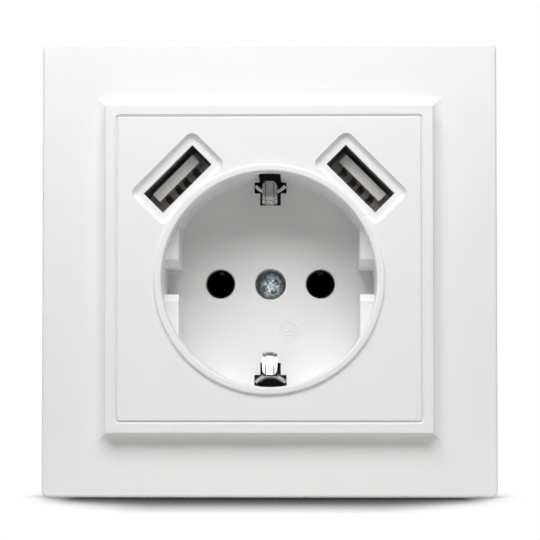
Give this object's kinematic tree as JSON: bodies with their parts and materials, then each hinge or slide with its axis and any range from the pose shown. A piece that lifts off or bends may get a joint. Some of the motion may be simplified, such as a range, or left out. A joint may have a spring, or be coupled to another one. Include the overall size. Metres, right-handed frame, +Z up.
{
  "type": "usb wall socket",
  "caption": "Flush wall socket with a round recessed pot, side earth prongs and sloping USB ports, in a square coved frame on a steel strap, with spreading claws behind.",
  "frame": {"origin": "middle of the wall's surface: midway between the two box screw holes, on the back of the strap", "axes": "+X to the right seen from the front, +Y into the wall, +Z up"},
  "size_m": [0.083, 0.0492, 0.083],
  "materials": {
    "cover_frame": "white satin moulded",
    "centre_plate": "white satin moulded",
    "plate_screw": "zinc plated",
    "earth_bow": "nickel plated",
    "support_strap": "zinc plated sheet",
    "strap_rivets": "zinc plated",
    "socket_base": "dark grey moulded",
    "rear_cover": "dark grey moulded",
    "insulator_plate": "black pressed board",
    "housing_screws": "zinc plated",
    "contact_right": "bare spring brass",
    "contact_left": "bare spring brass",
    "claw_right": "zinc plated",
    "claw_left": "zinc plated",
    "claw_screw_right": "zinc plated",
    "claw_screw_left": "zinc plated",
    "usb_board": "green laminate",
    "link_pins": "tinned",
    "supply_pins": "tinned",
    "charger_board": "green laminate",
    "transformer_core": "ferrite",
    "transformer_winding": "yellow tape",
    "input_capacitor": "sleeved can",
    "output_capacitors": "sleeved can",
    "safety_capacitor": "dipped",
    "choke": "ferrite and wire",
    "fuse_resistor": "lacquered",
    "controller_chip": "moulded",
    "rectifier": "moulded",
    "terminal_screws": "zinc plated",
    "terminal_left": "bare brass",
    "terminal_earth": "bare brass",
    "terminal_right": "bare brass",
    "usb_shell_left": "nickel plated",
    "usb_shell_right": "nickel plated",
    "usb_tongue_left": "white moulded",
    "usb_tongue_right": "white moulded",
    "usb_contacts_left": "plated",
    "usb_contacts_right": "plated"
  },
  "bodies": {
    "socket": {"cover_frame": "cover_frame", "centre_plate": "centre_plate", "plate_screw": "plate_screw", "earth_bow": "earth_bow", "support_strap": "support_strap", "strap_rivets": "strap_rivets", "socket_base": "socket_base", "rear_cover": "rear_cover", "insulator_plate": "insulator_plate", "housing_screws": "housing_screws", "contact_right": "contact_right", "contact_left": "contact_left", "usb_board": "usb_board", "link_pins": "link_pins", "supply_pins": "supply_pins", "charger_board": "charger_board", "transformer_core": "transformer_core", "transformer_winding": "transformer_winding", "input_capacitor": "input_capacitor", "output_capacitors": "output_capacitors", "safety_capacitor": "safety_capacitor", "choke": "choke", "fuse_resistor": "fuse_resistor", "controller_chip": "controller_chip", "rectifier": "rectifier", "terminal_screws": "terminal_screws", "terminal_left": "terminal_left", "terminal_earth": "terminal_earth", "terminal_right": "terminal_right", "usb_shell_left": "usb_shell_left", "usb_shell_right": "usb_shell_right", "usb_tongue_left": "usb_tongue_left", "usb_tongue_right": "usb_tongue_right", "usb_contacts_left": "usb_contacts_left", "usb_contacts_right": "usb_contacts_right"},
    "claw_right": {"claw_right": "claw_right"},
    "claw_left": {"claw_left": "claw_left"},
    "claw_screw_right": {"claw_screw_right": "claw_screw_right"},
    "claw_screw_left": {"claw_screw_left": "claw_screw_left"}
  },
  "joints": [
    {"name": "claw_right_spread", "type": "hinge", "parent": "socket", "child": "claw_right", "pos_m": [0.02809, -0.0005, 0], "axis": [0, 0, -1], "range_deg": [0, 12]},
    {"name": "claw_left_spread", "type": "hinge", "parent": "socket", "child": "claw_left", "pos_m": [-0.02809, -0.0005, 0], "axis": [0, 0, 1], "range_deg": [0, 12]},
    {"name": "claw_right_screw_turn", "type": "hinge", "parent": "claw_right", "child": "claw_screw_right", "pos_m": [0.02439, 0, 0], "axis": [0, 1, 0], "range_deg": [0, 555]},
    {"name": "claw_left_screw_turn", "type": "hinge", "parent": "claw_left", "child": "claw_screw_left", "pos_m": [-0.02439, 0, 0], "axis": [0, 1, 0], "range_deg": [0, 555]}
  ],
  "couplings": [
    {"joint": "claw_right_screw_turn", "follows": "claw_right_spread", "ratio": 46.2},
    {"joint": "claw_left_screw_turn", "follows": "claw_left_spread", "ratio": 46.2}
  ]
}
